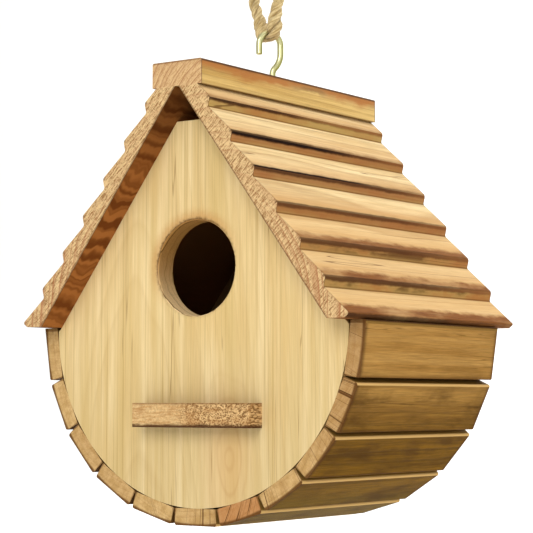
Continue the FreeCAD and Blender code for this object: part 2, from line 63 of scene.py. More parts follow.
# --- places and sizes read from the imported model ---

PANEL_LOW, PANEL_HIGH = map(Vector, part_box("front_panel"))
CAP_LOW, CAP_HIGH = map(Vector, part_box("ridge_cap"))
ROOF_LOW, ROOF_HIGH = map(Vector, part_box("roof_board_right"))
SLAT_LOW, SLAT_HIGH = map(Vector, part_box("slat_06"))
TOP_SLAT_Z = Vector(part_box("slat_01")[1]).z
PERCH_LOW, PERCH_HIGH = map(Vector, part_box("perch"))
MOUNTS = {mount["name"]: mount for mount in frame["record"]["mounts"]}
ENTRANCE = Vector(MOUNTS["entrance"]["pos_m"])
ENTRANCE_RADIUS = MOUNTS["entrance"]["dims"]["r_mm"] * MM
JOINTS = {joint["name"]: joint for joint in frame["record"]["behaviour"]["joints"]}
SEAT = Vector(JOINTS["hook_swing"]["pos_m"])
SLAT_NAMES = sorted(name for name in frame["nodes"] if name.startswith("slat_") and name[-1].isdigit())

HUB_RISE_TO_ENTRANCE = 26.8 * MM
HUB_Z = ENTRANCE.z - HUB_RISE_TO_ENTRANCE
BODY_RADIUS = HUB_Z - PANEL_LOW.z
PANEL_THICK = (PANEL_HIGH.y - PANEL_LOW.y) / MM
INSIDE_Y = abs(PANEL_LOW.y) / MM - PANEL_THICK
SLAT_STEP = math.pi / len(SLAT_NAMES)

# Roof section, as the boards are milled
ROOF_PITCH = math.radians(53.3)
APEX_Z = CAP_LOW.z + 1.4 * MM
COURSE_PITCH = 21.2 * MM
FIRST_NOSE = 17.8 * MM


# --- colours ---

def linear(code, alpha=1.0):
    """sRGB hex code as a linear colour."""
    channels = [int(code[i:i + 2], 16) / 255 for i in (1, 3, 5)]
    channels = [c / 12.92 if c <= 0.04045 else ((c + 0.055) / 1.055) ** 2.4 for c in channels]
    return (*channels, alpha)


# --- shader building ---

class Value:
    """Output of a shader node, reckoned with as if it were a number."""

    def __init__(self, tree, socket):
        self.tree = tree
        self.socket = socket

    def __add__(self, other):
        return maths("ADD", self, other)

    def __sub__(self, other):
        return maths("SUBTRACT", self, other)

    def __rsub__(self, other):
        return maths("SUBTRACT", other, self)

    def __mul__(self, other):
        return maths("MULTIPLY", self, other)

    def __truediv__(self, other):
        return maths("DIVIDE", self, other)

    def __abs__(self):
        return maths("ABSOLUTE", self)


def put(tree, kind, *values, out=0, named=None, stops=(), **settings):
    """Add one shader node with its settings, fill its sockets and give back one of its outputs.

    A socket takes a value, a number, a vector or a hex code of a colour.
    """
    node = tree.nodes.new("ShaderNode" + kind)
    for name, value in settings.items():
        setattr(node, name, value)
    for key, value in list(enumerate(values)) + list((named or {}).items()):
        if isinstance(value, Value):
            tree.links.new(value.socket, node.inputs[key])
        else:
            node.inputs[key].default_value = linear(value) if isinstance(value, str) else value
    if stops:
        ramp = node.color_ramp.elements
        while len(ramp) < len(stops):
            ramp.new(0.5)
        for element, (place, colour) in zip(ramp, stops):
            element.position = place
            element.color = colour if not isinstance(colour, float) else (colour, colour, colour, 1.0)
    return Value(tree, node.outputs[out])


def new_material(name):
    """Empty material, its node tree and the place on the piece in millimetres."""
    material = bpy.data.materials.new(name)
    material.use_nodes = True
    tree = material.node_tree
    tree.nodes.clear()
    place = put(tree, "TexCoord", out="Object")
    return material, tree, put(tree, "VectorMath", place, named={"Scale": 1 / MM}, operation="SCALE")


def finish_material(material, colour, roughness, height=None, bump_mm=0.1, **shader):
    """Principled surface with its bump."""
    tree = material.node_tree
    named = {"Base Color": colour, "Roughness": roughness}
    named.update({key.replace("_", " "): value for key, value in shader.items()})
    if height is not None:
        relief = {"Strength": 1.0, "Distance": bump_mm * MM, "Height": height}
        named["Normal"] = put(tree, "Bump", named=relief)
    surface = put(tree, "BsdfPrincipled", named=named)
    tree.links.new(surface.socket, tree.nodes.new("ShaderNodeOutputMaterial").inputs["Surface"])
    return material


def split(vector, kind="SeparateXYZ"):
    """The three parts of a vector or a colour."""
    node = put(vector.tree, kind, vector).socket.node
    return [Value(vector.tree, output) for output in node.outputs]


def maths(operation, *values, clamp=False):
    """One step of arithmetic."""
    tree = next(value.tree for value in values if isinstance(value, Value))
    return put(tree, "Math", *values, operation=operation, use_clamp=clamp)


def between(value, low, high, to_low=0.0, to_high=1.0):
    """Smooth change from one value to another over a span."""
    return put(value.tree, "MapRange", value, low, high, to_low, to_high, interpolation_type="SMOOTHSTEP")


def blend(amount, first, second):
    """Mix of two colours."""
    return put(amount.tree, "Mix", named={0: amount, 6: first, 7: second}, out=2, data_type="RGBA",
               clamp_factor=True)


def cloud(place, scale, detail=2.0, roughness=0.5):
    """Noise at a scale per millimetre, stretched by a scale vector."""
    stretched = put(place.tree, "VectorMath", place, scale, operation="MULTIPLY")
    named = {"Vector": stretched, "Scale": 1.0, "Detail": detail, "Roughness": roughness}
    return put(place.tree, "TexNoise", named=named)


def bands(value, scale, detail):
    """Noise that follows one value."""
    named = {"W": value, "Scale": scale, "Detail": detail}
    return put(value.tree, "TexNoise", named=named, noise_dimensions="1D")


def along_scale(axis, across, along):
    """Scale vector that is stretched along one axis."""
    scale = [across] * 3
    scale[axis] = along
    return tuple(scale)


def hairlines(place, scale, width=0.012, detail=2.0, share=0.54):
    """Thin dark cracks: the contour of a stretched noise, broken up by a broader one."""
    field = cloud(place, scale, detail, 0.55)
    away = abs(field - 0.5)
    here = cloud(place, tuple(value * 0.4 for value in scale), 0.0)
    line = between(away, width * 0.25, width, 1.0, 0.0)
    return line * between(here, share, share + 0.06)


def solid_wood(place, axis, pith, ring_mm, wobble_mm=9.0, taper=0.0):
    """Solid wood: rings round a pith line that runs along an axis, with streaks and fibres along it.

    The same rings show as lines or flames on a face and as arcs on the ends.
    """
    parts = split(place)
    across = [parts[i] for i in range(3) if i != axis]
    offsets = [part - start for part, start in zip(across, pith)]
    sway = cloud(place, along_scale(axis, 0.016, 0.0045), 2.0)
    sway = (sway - 0.5) * wobble_mm
    sway = sway + parts[axis] * taper
    squares = [part * part for part in offsets]
    radius = maths("SQRT", maths("ADD", *squares))
    radius = radius + sway
    rings = radius / ring_mm + bands(radius, 0.11, 2.0) * 3.0
    late = put(place.tree, "ValToRGB", maths("FRACT", rings),
               stops=((0.0, 0.3), (0.06, 0.0), (0.45, 0.06), (0.78, 0.45), (0.92, 1.0), (1.0, 0.4)))
    return {
        "late": late,
        "streak": cloud(place, along_scale(axis, 0.22, 0.006), 4.0, 0.62),
        "fibre": cloud(place, along_scale(axis, 2.4, 0.06), 3.0, 0.65),
        "patch": cloud(place, along_scale(axis, 0.035, 0.009), 2.0),
    }


def facing(tree, axis):
    """1 on faces that look along an axis, 0 elsewhere."""
    parts = split(put(tree, "TexCoord", out="Normal"))
    return between(abs(parts[axis]), 0.75, 0.9)


def shaded(colour, value, low, high, dark, light):
    """Multiply a colour by a grey that follows a value."""
    grey = between(value, low, high, dark, light)
    grey = put(value.tree, "CombineColor", grey, grey, grey)
    return put(value.tree, "Mix", named={0: 1.0, 6: colour, 7: grey}, out=2, data_type="RGBA",
               blend_type="MULTIPLY", clamp_factor=True)


def pine_tones(wood, pale, warm, line, line_amount=0.5, patch_tone=None, fibre=0.12):
    """Colour of pine from its pattern."""
    colour = blend(between(wood["streak"], 0.33, 0.67), pale, warm)
    if patch_tone is not None:
        amount = between(wood["patch"], 0.45, 0.72, 0.0, 0.7)
        colour = blend(amount, colour, patch_tone)
    colour = blend(wood["late"] * line_amount, colour, line)
    return shaded(colour, wood["fibre"], 0.3, 0.7, 1 - fibre, 1 + fibre * 0.4)


def rough_ends(place, wood, pale, dark, ring_tone, ring_amount):
    """Saw-cut end grain: speckle crossed by slanting saw strokes, over ring arcs."""
    x, y, z = split(place)
    slant = put(place.tree, "CombineXYZ", x + z, y, x - z)
    strokes = cloud(slant, (0.14, 0.4, 1.0), 4.0, 0.75)
    speck = cloud(slant, (0.85, 0.6, 0.5), 5.0, 0.8)
    mixed = strokes * 0.65 + speck * 0.35
    colour = blend(between(mixed, 0.42, 0.54), dark, pale)
    ring = wood["late"] * ring_amount
    return blend(ring, colour, ring_tone), mixed


def panel_figure(place, colour, figure):
    """Warm oval flame where a ring is cut nearly flat."""
    x, _, z = split(place)
    wide = (x - figure[0]) / 10.0
    high = (z - (HUB_Z / MM + figure[1])) / 24.0
    reach = maths("SQRT", wide * wide + high * high)
    sway = cloud(place, (0.05, 0.05, 0.02), 2.0)
    reach = reach + (sway - 0.5) * 1.1
    colour = blend(between(reach, 0.3, 1.9, 0.50, 0.0), colour, "#CDA165")
    wave = abs(maths("FRACT", reach * 2.2) - 0.5)
    line = between(wave, 0.0, 0.22, 0.24, 0.0) * between(reach, 0.6, 2.1, 0.75, 0.0)
    return blend(line, colour, "#A9793E")


def pine_panel_material(name, pith, figure, entrance=None):
    """Sanded pine under clear oil: straw-coloured faces with upright grain, browner on the sawn edges."""
    material, tree, place = new_material(name)
    _, y, z = split(place)
    wood = solid_wood(place, 2, pith, 3.4, 11.0, 0.075)
    colour = pine_tones(wood, "#E0C896", "#CEB27A", "#AB874C", 0.17, "#CFB075", 0.08)
    olive = cloud(place, (0.07, 0.07, 0.003), 3.0)
    colour = blend(between(olive, 0.48, 0.72, 0.0, 0.55), colour, "#C0A569")
    fine = cloud(place, (0.9, 0.9, 0.004), 2.0)
    colour = blend(between(fine, 0.54, 0.68, 0.0, 0.48), colour, "#A5884E")
    colour = blend(hairlines(place, (0.16, 0.16, 0.0022), 0.006) * 0.5, colour, "#86683A")
    colour = panel_figure(place, colour, figure)
    # painted shade: the face darker towards its foot
    colour = shaded(colour, z, PANEL_LOW.z / MM, PANEL_LOW.z / MM + 110.0, 0.88, 1.0)
    rim = 1.0 - facing(tree, 1)
    sawn = blend(between(wood["fibre"], 0.4, 0.6), "#9A723E", "#C4A064")
    if entrance is not None:
        offset = put(tree, "VectorMath", place, tuple(value / MM for value in entrance), operation="SUBTRACT")
        aside, _, above = split(offset)
        reach = maths("SQRT", aside * aside + above * above)
        edge = ENTRANCE_RADIUS / MM
        lean = above - aside * 0.55
        upper = between(lean, -edge * 0.7, edge * 1.05)
        # wall of the hole: brown under the top, partly scorch and partly painted shade, and pale at the foot
        # with painted light, with dark ribs along the rim
        wall = blend(upper, "#F0D09A", "#A87A40")
        wall = shaded(wall, wood["fibre"], 0.3, 0.7, 0.82, 1.08)
        wobble = cloud(place, (0.05, 0.05, 0.05), 3.0) * 9.0
        deep = y + wobble
        ribs = bands(deep, 0.9, 3.0)
        wall = blend(between(ribs, 0.54, 0.62, 0.0, 0.7), wall, "#7A5826")
        wall = blend(between(ribs, 0.60, 0.66, 0.0, 0.75), wall, "#4A3212")
        near = between(reach, edge + 3.0, edge + 4.0, 1.0, 0.0)
        sawn = blend(near, sawn, wall)
        ragged = cloud(place, (0.6, 0.6, 0.6), 3.0)
        worn = reach - ragged * 2.6
        scorch = between(worn, edge - 1.2, edge + 0.7, 1.0, 0.0) * (upper * 0.8 + 0.15)
        halo = between(worn, edge - 0.5, edge + 6.0, 0.55, 0.0) * upper
        colour = blend(halo, colour, "#B07A3C")
        colour = blend(scorch, colour, "#5F4120")
    inside = maths("LESS_THAN", abs(y), INSIDE_Y + 0.3)
    colour = blend(rim, colour, sawn)
    # inner face: brown, partly stain and partly painted shade
    colour = blend(inside * facing(tree, 1), colour, "#A0784A")
    height = wood["fibre"] + wood["late"] * -0.3
    return finish_material(material, colour, 0.62, height, 0.10, Specular_IOR_Level=0.12)


# Slat near the foot of the barrel whose heartwood end is redder than the rest, by its place in the turn
RUDDY_SLAT = 6.0
# Depth of the scorch at the ends of a slat in millimetres, and where its outer arris is pale from wear and
# painted highlight:
# radius from the hub in millimetres, and turn from the foot in radians where the pale arris stops
END_SCORCH = 3.5
ARRIS_WEAR_AND_HIGHLIGHT_RADIUS = (92.2, 92.9)
ARRIS_WEAR_AND_HIGHLIGHT_TURN = (1.42, 1.46)


def slat_material():
    """Stained and torched pine slats: golden brown under the eaves, darker below from stain and painted
    shade, scorched arrises, a pale upper arris from wear and painted highlight, and a painted shadow under
    the eave.
    """
    material, tree, place = new_material("walnut_stained_pine_slat")
    x, y, z = split(place)
    up = z - HUB_Z / MM
    turn = maths("ARCTAN2", x, up * -1.0)
    spot = (turn + math.pi / 2) / SLAT_STEP
    index = maths("FLOOR", spot)
    share = maths("FRACT", spot) - 0.5
    upward = share * maths("SIGN", turn)
    radius = maths("SQRT", x * x + up * up)
    jump = put(tree, "TexWhiteNoise", named={"W": index}, out="Color", noise_dimensions="1D")
    chance = put(tree, "TexWhiteNoise", named={"W": index}, noise_dimensions="1D")
    jump = put(tree, "VectorMath", jump, (70.0, 900.0, 70.0), operation="MULTIPLY")
    moved = put(tree, "VectorMath", place, jump, operation="ADD")
    wood = solid_wood(moved, 1, (30.0, -150.0), 2.6, 5.0)
    olive = between(abs(turn), math.radians(45), math.radians(20), 0.0, 0.6)
    golden = pine_tones(wood, "#AE8446", "#976D32", "#765424", 0.5, fibre=0.22)
    # lower slats darker brown: partly stain and partly painted shade, as they face down
    walnut_and_shade = pine_tones(wood, "#7E580C", "#5F4004", "#3C2802", 0.5, fibre=0.28)
    stain_and_shade = between(abs(turn), math.radians(82), math.radians(50), 0.0, 1.0)
    colour = blend(stain_and_shade, golden, walnut_and_shade)
    colour = blend(olive, colour, "#645012")
    smoke = cloud(moved, (0.09, 0.024, 0.09), 4.0, 0.6)
    smoke = between(smoke, 0.44, 0.70) * between(stain_and_shade, 0.0, 0.5, 0.2, 0.7)
    colour = blend(smoke, colour, "#442A02")
    lines = hairlines(moved, (0.5, 0.010, 0.5), 0.02, 2.0, 0.46)
    colour = blend(lines * 0.5, colour, "#4F3612")
    # torch marks round the outline of each board
    near_end = between(abs(y), SLAT_HIGH.y / MM - END_SCORCH, SLAT_HIGH.y / MM, 0.0, 0.75)
    low_edge = between(upward, -0.36, -0.49, 0.0, 0.8)
    colour = blend(maths("MAXIMUM", near_end, low_edge), colour, "#4A2A0E")
    wedge = between(upward, 0.445, 0.455)
    colour = blend(wedge, colour, "#7A5A28")
    # pale upper arris: partly wear and partly painted highlight where it catches light from above
    worn = between(upward, 0.41, 0.43) * between(radius, *ARRIS_WEAR_AND_HIGHLIGHT_RADIUS)
    worn = worn * between(abs(turn), *ARRIS_WEAR_AND_HIGHLIGHT_TURN, 0.85, 0.0)
    colour = blend(worn, colour, "#CFA768")
    # painted shadow of the eave along the top of the highest slat
    eave_shadow = between(z, TOP_SLAT_Z / MM - 1.2, TOP_SLAT_Z / MM - 0.3, 0.0, 0.85)
    colour = blend(eave_shadow, colour, "#3F260E")
    ends = pine_tones(wood, "#CEAC76", "#B8955E", "#8C6236", 0.22, fibre=0.15)
    right = between(turn, 0.5, 1.2, 0.0, 0.5)
    ends = blend(maths("MAXIMUM", right, chance * 0.25), ends, "#8C6034")
    ruddy = between(abs(index - RUDDY_SLAT), 0.2, 0.4, 0.55, 0.0)
    ends = blend(ruddy, ends, "#A9683A")
    # short checks across the thickness, and arcs of growth where the board came from near the pith
    around = turn * (BODY_RADIUS / MM)
    bow = (chance - 0.5) * 1.6
    bent = around + (radius - BODY_RADIUS / MM) * bow
    gap = bands(bent, 0.16, 3.0)
    fine = abs(maths("FRACT", gap * 6.0) - 0.5)
    lines = between(fine, 0.02, 0.075, 1.0, 0.0)
    here = cloud(put(tree, "CombineXYZ", around, index * 9.0, 0.0), (0.09, 1.0, 1.0), 1.0)
    lines = lines * between(here, 0.36, 0.50, 0.1, 0.95)
    lines = lines * between(turn, -0.7, 0.2, 0.12, 1.0)
    ends = blend(lines, ends, "#4E2F16")
    arcs = abs(maths("FRACT", around / 3.2 + gap * 4.0) - 0.5)
    ends = blend(between(arcs, 0.0, 0.2, 0.18, 0.0), ends, "#8E6034")
    skin = between(radius, BODY_RADIUS / MM + 6.6, BODY_RADIUS / MM + 7.7, 0.0, 0.9)
    ends = blend(skin, ends, "#5A3818")
    seam = between(abs(share), 0.445, 0.47, 0.0, 0.7)
    ends = blend(seam, ends, "#5A3818")
    colour = blend(facing(tree, 1), colour, ends)
    # inner faces: brown, partly stain and partly painted shade
    within = maths("LESS_THAN", radius, BODY_RADIUS / MM + 1.0)
    within = within * maths("LESS_THAN", abs(y), INSIDE_Y)
    colour = blend(within, colour, "#8A6436")
    height = wood["fibre"] + wood["late"] * -0.6
    return finish_material(material, colour, 0.6, height, 0.16, Specular_IOR_Level=0.02)


def slope_places(place):
    """Run down the roof slope and height above its inner plane, in millimetres, on either side."""
    x, _, z = split(place)
    side = abs(x)
    fall = z - APEX_Z / MM
    run = side * math.cos(ROOF_PITCH) - fall * math.sin(ROOF_PITCH)
    height = side * math.sin(ROOF_PITCH) + fall * math.cos(ROOF_PITCH)
    return run, height


# One row for each course from the ridge down: width of the brown band, its depth, depth of the black nose,
# and how far back from the front the black reaches
TORCH = (
    (0.08, 0.40, 0.15, 0.3),
    (0.10, 0.45, 0.85, 0.6),
    (0.14, 0.45, 1.00, 0.8),
    (0.08, 0.25, 0.70, 1.0),
    (0.26, 0.80, 0.60, 0.9),
    (0.28, 0.85, 0.65, 0.9),
    (0.34, 0.85, 0.70, 0.8),
    (0.34, 0.85, 0.70, 0.8),
)


def roof_material():
    """Torched pine roof boards: straw-coloured faces, scorched noses, orange-brown undersides, sawn ends."""
    material, tree, place = new_material("torched_pine_roof_board")
    _, y, _ = split(place)
    run, height_above = slope_places(place)
    wood = solid_wood(place, 1, (16.0, -190.0), 3.3, 12.0)
    course = (run - FIRST_NOSE / MM) / (COURSE_PITCH / MM)
    number = maths("CEIL", course)
    share = maths("FRACT", course)
    # each course went under the torch on its own
    which = (number + 0.5) / float(len(TORCH))
    torch = put(tree, "ValToRGB", which, stops=[(i / len(TORCH), row) for i, row in enumerate(TORCH)])
    ramp = torch.socket.node
    ramp.color_ramp.interpolation = "CONSTANT"
    wide, brown, deep = split(torch, "SeparateColor")
    black_reach = Value(tree, ramp.outputs["Alpha"])
    shift = number * 37.0
    lane = put(tree, "CombineXYZ", shift, y, share * 6.0)
    uneven = cloud(lane, (1.0, 0.020, 0.3), 4.0, 0.6)
    ragged = cloud(lane, (1.0, 0.09, 0.8), 3.0, 0.6)
    back = (y + ROOF_HIGH.y / MM) / ((ROOF_HIGH.y - ROOF_LOW.y) / MM)
    back = back + (uneven - 0.5) * 0.7
    black = between(back - black_reach, -0.35, 0.25, 1.0, 0.22)

    colour = pine_tones(wood, "#DFC797", "#CDAF7C", "#9E7A4C", 0.50, fibre=0.20)
    flush = share + (uneven - 0.5) * 0.35
    colour = blend(between(flush, 0.35, 1.0, 0.0, 0.55), colour, "#B68A58")
    colour = blend(between(run, 55.0, 100.0, 0.0, 0.45), colour, "#C0935A")
    # brown band above the nose
    reach = share - (1.0 - wide)
    reach = reach + (ragged - 0.5) * 0.30
    band = between(reach, -0.06, 0.14) * brown
    band = maths("MULTIPLY", band, between(uneven, 0.30, 0.55, 0.45, 1.15), clamp=True)
    colour = blend(band, colour, "#7A4A22")
    streaky = band * between(wood["fibre"], 0.45, 0.65, 0.0, 0.5)
    colour = blend(streaky, colour, "#4A2A1A")
    # black along the nose, then ochre below it, and a brown painted shadow in the corner of the notch
    nose = between(share + ragged * 0.05, 0.955, 0.995)
    drop_depth = share + (ragged - 0.5) * 0.05
    foot = between(drop_depth, 0.035, 0.075, 1.0, 0.0)
    drop = between(share, 0.165, 0.185, 1.0, 0.0)
    ochre = blend(between(uneven, 0.35, 0.6), "#9C6630", "#A98A4C")
    browned = maths("GREATER_THAN", number, 1.5) * between(number, 4.5, 5.5, 0.75, 0.0)
    browned = browned * between(share, 0.08, 0.17, 1.0, 0.35)
    ochre = blend(browned, ochre, "#8E5428")
    colour = blend(drop * 0.9, colour, ochre)
    charred = maths("GREATER_THAN", number, 4.5) * between(uneven, 0.48, 0.60, 0.0, 0.75)
    charred = charred * (drop * between(share, 0.08, 0.16, 1.0, 0.2))
    colour = blend(charred, colour, "#4E2C10")
    # painted shadow: thin dark line in the corner of the notch
    corner = between(abs(share - 0.155), 0.004, 0.028, 0.7, 0.0)
    colour = blend(corner, colour, "#5E3A18")
    strength = deep * black
    dark = maths("MAXIMUM", nose, foot) * strength
    colour = blend(foot * 0.75, colour, "#84502A")
    colour = blend(dark, colour, "#1E0F06")
    crack = hairlines(place, (0.12, 0.0035, 0.12), 0.006, 1.0)
    colour = blend(crack * 0.7, colour, "#5A3A1E")

    under = between(height_above, 0.25, 0.6, 1.0, 0.0)
    wave = run + cloud(place, (0.05, 0.09, 0.05), 2.0) * 14.0
    ripple = bands(wave, 0.17, 1.5)
    orange = blend(between(ripple, 0.34, 0.64), "#6A3A16", "#9C6230")
    # painted shade: the underside darker towards the ridge
    orange = shaded(orange, run, 5.0, 60.0, 0.55, 1.0)
    # inner faces: flat brown, partly the wood's own colour and partly painted shade
    inside = maths("LESS_THAN", abs(y), INSIDE_Y)
    orange = blend(inside, orange, "#84562C")
    colour = blend(under, colour, orange)

    edge_line = between(abs(y), ROOF_HIGH.y / MM - 0.9, ROOF_HIGH.y / MM - 0.1, 0.0, 0.6)
    colour = blend(edge_line, colour, "#5A3A20")
    ringed = between(run, 70.0, 105.0, 0.35, 0.9)
    ends, saw = rough_ends(place, wood, "#D6B684", "#876038", "#9E6642", ringed)
    skin = between(share, 0.90, 0.99, 0.0, 1.0)
    skin = skin * between(height_above, 8.6, 10.2, 0.0, 0.75)
    ends = blend(skin, ends, "#5A3820")
    line = between(height_above, 0.3, 1.0, 0.6, 0.0)
    ends = blend(line, ends, "#5A3820")
    colour = blend(facing(tree, 1), colour, ends)
    rough_end = facing(tree, 1) * (saw * 4.5)
    height = wood["fibre"] + wood["late"] * -0.4 + rough_end
    return finish_material(material, colour, 0.62, height, 0.15, Specular_IOR_Level=0.02)


def cap_material():
    """Torched pine ridge bar: olive-gold sides under a red-brown scorched top edge, tan sawn ends."""
    material, tree, place = new_material("torched_pine_ridge_bar")
    x, y, z = split(place)
    wood = solid_wood(place, 1, (26.0, -100.0), 2.8, 5.0)
    colour = pine_tones(wood, "#CFAE6C", "#B8934F", "#94703A", 0.35, fibre=0.14)
    uneven = cloud(place, (0.12, 0.022, 0.08), 4.0, 0.6)
    drop = CAP_HIGH.z / MM - z
    swing = (uneven - 0.5) * 16.0
    wavy = drop + swing
    rim = between(wavy, 2.6, 5.2) * between(wavy, 5.2, 7.6, 1.0, 0.0)
    sideways = CAP_HIGH.x / MM - abs(x)
    flat_top = between(sideways - uneven * 4.0, -1.0, 4.0)
    scorched = 1.0 - flat_top * facing(tree, 2)
    russet = between(wavy, 2.5, 6.5, 0.9, 0.0) * between(scorched, 0.0, 1.0, 0.3, 1.0)
    colour = blend(russet, colour, "#A1642F")
    colour = blend(rim * between(uneven, 0.5, 0.65, 0.0, 0.6), colour, "#6E4220")
    dark_rim = between(wavy, -1.5, 2.0, 0.85, 0.0)
    colour = blend(dark_rim * scorched, colour, "#5A331A")
    top_line = between(drop, 0.7, 1.6, 0.85, 0.0)
    colour = blend(top_line * scorched, colour, "#3E2412")
    corner = between(abs(y), CAP_HIGH.y / MM - 0.9, CAP_HIGH.y / MM - 0.2, 0.0, 0.75)
    colour = blend(corner, colour, "#4E3018")
    # painted shadow of the gap under the bar along its lower edge
    colour = blend(between(z, CAP_LOW.z / MM + 0.1, CAP_LOW.z / MM + 0.5, 0.6, 0.0), colour, "#6A4A22")
    ends, saw = rough_ends(place, wood, "#CBA97A", "#AE8658", "#966644", 0.8)
    outline = between(drop, 0.3, 1.2, 0.7, 0.0)
    ends = blend(outline, ends, "#6A4424")
    colour = blend(facing(tree, 1), colour, ends)
    return finish_material(material, colour, 0.6, wood["fibre"] + saw, 0.14, Specular_IOR_Level=0.08)


def perch_material():
    """Rough sawn perch with a torn, speckled face and darker arrises."""
    material, tree, place = new_material("rough_sawn_pine_perch")
    x, _, z = split(place)
    grains = put(tree, "VectorMath", place, (1.6, 0.5, 1.8), operation="MULTIPLY")
    grains = put(tree, "TexVoronoi", grains, named={"Scale": 1.0, "Randomness": 1.0}, out="Color")
    speck = (split(grains)[0] + cloud(place, (0.5, 0.6, 0.6), 4.0, 0.8)) * 0.5
    drawn = cloud(place, (0.14, 0.5, 1.1), 4.0, 0.65)
    torn = between(x + drawn * 20.0, 2.0, 18.0)
    smooth = blend(between(drawn, 0.35, 0.65), "#B98D58", "#DBBB86")
    rough = blend(between(speck, 0.26, 0.68), "#6E4A26", "#D2AC76")
    colour = blend(between(torn, 0.0, 1.0, 0.25, 0.95), smooth, rough)
    coarse = cloud(place, (0.10, 0.2, 0.25), 3.0, 0.6)
    colour = blend(between(coarse, 0.45, 0.65, 0.0, 0.5), colour, "#A0703E")
    ragged = (drawn - 0.5) * 3.0
    low = z - PERCH_LOW.z / MM + ragged
    colour = blend(between(low, 0.6, 2.2, 0.95, 0.0), colour, "#472A14")
    high = between(z + ragged, PERCH_HIGH.z / MM - 1.2, PERCH_HIGH.z / MM, 0.0, 0.55)
    colour = blend(high, colour, "#6A4826")
    return finish_material(material, colour, 0.66, speck, 0.35, Specular_IOR_Level=0.06)


def brass_material():
    """Bright brass plate on drawn wire: pale greenish gold, with painted shade in olive on the side away from
    the light and in grey along the opposite edge.
    """
    material, tree, place = new_material("brass_plated_wire")
    scratch = cloud(place, (0.8, 0.8, 6.0), 3.0, 0.6)
    patch = cloud(place, (0.12, 0.12, 0.10), 1.0)
    colour = blend(between(scratch, 0.3, 0.7), "#C4BF84", "#D6D3A6")
    # painted shade: olive on the side that faces away from the light, grey along the opposite edge
    aside = put(tree, "VectorMath", put(tree, "TexCoord", out="Normal"), (0.82, 0.57, -0.15),
                operation="DOT_PRODUCT", out=1)
    aside = aside + (patch - 0.5) * 1.2
    colour = blend(between(aside, 0.1, 0.75, 0.0, 0.85), colour, "#878438")
    colour = blend(between(aside, -1.1, -0.75, 0.7, 0.0), colour, "#8B8A5C")
    roughness = between(scratch, 0.3, 0.7, 0.28, 0.36)
    return finish_material(material, colour, roughness, scratch, 0.01, Metallic=1.0)


def zinc_material():
    """Zinc plated steel: grey with a faint cloudy bloom."""
    material, _, place = new_material("zinc_plated_steel")
    bloom = cloud(place, (0.9, 0.9, 0.9), 3.0, 0.6)
    colour = blend(bloom, "#A9ABA8", "#C9CAC4")
    roughness = between(bloom, 0.3, 0.7, 0.28, 0.42)
    return finish_material(material, colour, roughness, bloom, 0.01, Metallic=1.0)


def jute_material():
    """Twisted jute: dry straw-coloured fibres, with painted shade in the valleys between strands and yarns.
    """
    material, tree, place = new_material("twisted_jute")
    lay = put(tree, "Attribute", attribute_name="lay", out="Vector")
    thread = cloud(lay, (1.0, 1.0, 1.0), 4.0, 0.7)
    dust = cloud(place, (0.35, 0.35, 0.35), 3.0, 0.6)
    valley_shade = put(tree, "Attribute", attribute_name="valley_shade", out="Fac")
    colour = blend(between(thread, 0.32, 0.66), "#A0834C", "#DCC795")
    colour = blend(between(dust, 0.42, 0.7, 0.0, 0.5), colour, "#8C7444")
    # painted shade in the valleys
    colour = blend(valley_shade, colour, "#6A4F28")
    return finish_material(material, colour, 0.9, thread, 0.3, Sheen_Weight=0.2, Specular_IOR_Level=0.2)


def paper_material():
    """Matt white studio paper."""
    material, _, place = new_material("matt_studio_paper")
    tooth = cloud(place, (0.2, 0.2, 0.2), 2.0)
    colour = blend(tooth, "#F4F4F2", "#FAFAF8")
    return finish_material(material, colour, 0.9)


# --- rope ---

# Strands and their yarns, and the slow drift of one strand against the others
STRANDS = 3
STRAND_SEED = 7
STRAND_FULLNESS = 1.08
STRAND_SIDES = 20
YARNS = 6
YARN_RELIEF = 0.055
YARN_LAY_SHARE = 0.6
SLACK_TURN = 0.35
SLACK_LENGTH = 11 * MM
END_REACH = 0.8
ROPE_FULLNESS = 1.08
ROPE_STEP = 0.6 * MM

# Place of the fibre pattern on a strand, and how dark the painted shade in the valleys is
PATTERN_RADIUS = 2.6
PATTERN_RUN = 0.16
PATTERN_APART = 9
STRAND_VALLEY_SHADE = 0.6
YARN_VALLEY_SHADE = 0.18

# Stray fibres: radius, lean to either side, length of the shortest against the longest, and random seeds
FIBRE_RADIUS = 0.045 * MM
FIBRE_LEAN = 0.35
FIBRE_SHORTEST = 0.4
ROPE_SEED = 11
KNOT_SEED = 23

# Route of the rope in its own plane, from inside the knot down to the hook and back up:
# sideways from the seat of the hook and height above it, in millimetres
ROPE_ROUTE = (
    (-2.3, 53.6), (-5.4, 44.6), (-11.6, 36.1), (-13.3, 23.6), (-7.9, 12.4), (-4.4, 2.0),
    (3.4, 2.0), (4.0, 12.4), (7.6, 23.6), (8.6, 36.1), (5.9, 44.6), (3.6, 53.6),
)
ROPE_PLANE_TURN = math.radians(-15.0)

# Under the wire the rope is pressed flat, and on either side of it the strands open out
PRESS_REACH = 6.5 * MM
PRESS_FADE = 4.0 * MM
PRESS_SHARE = 0.60
OPEN_PLACE = 9.0 * MM
OPEN_REACH = 8.0 * MM
OPEN_SHARE = 0.36

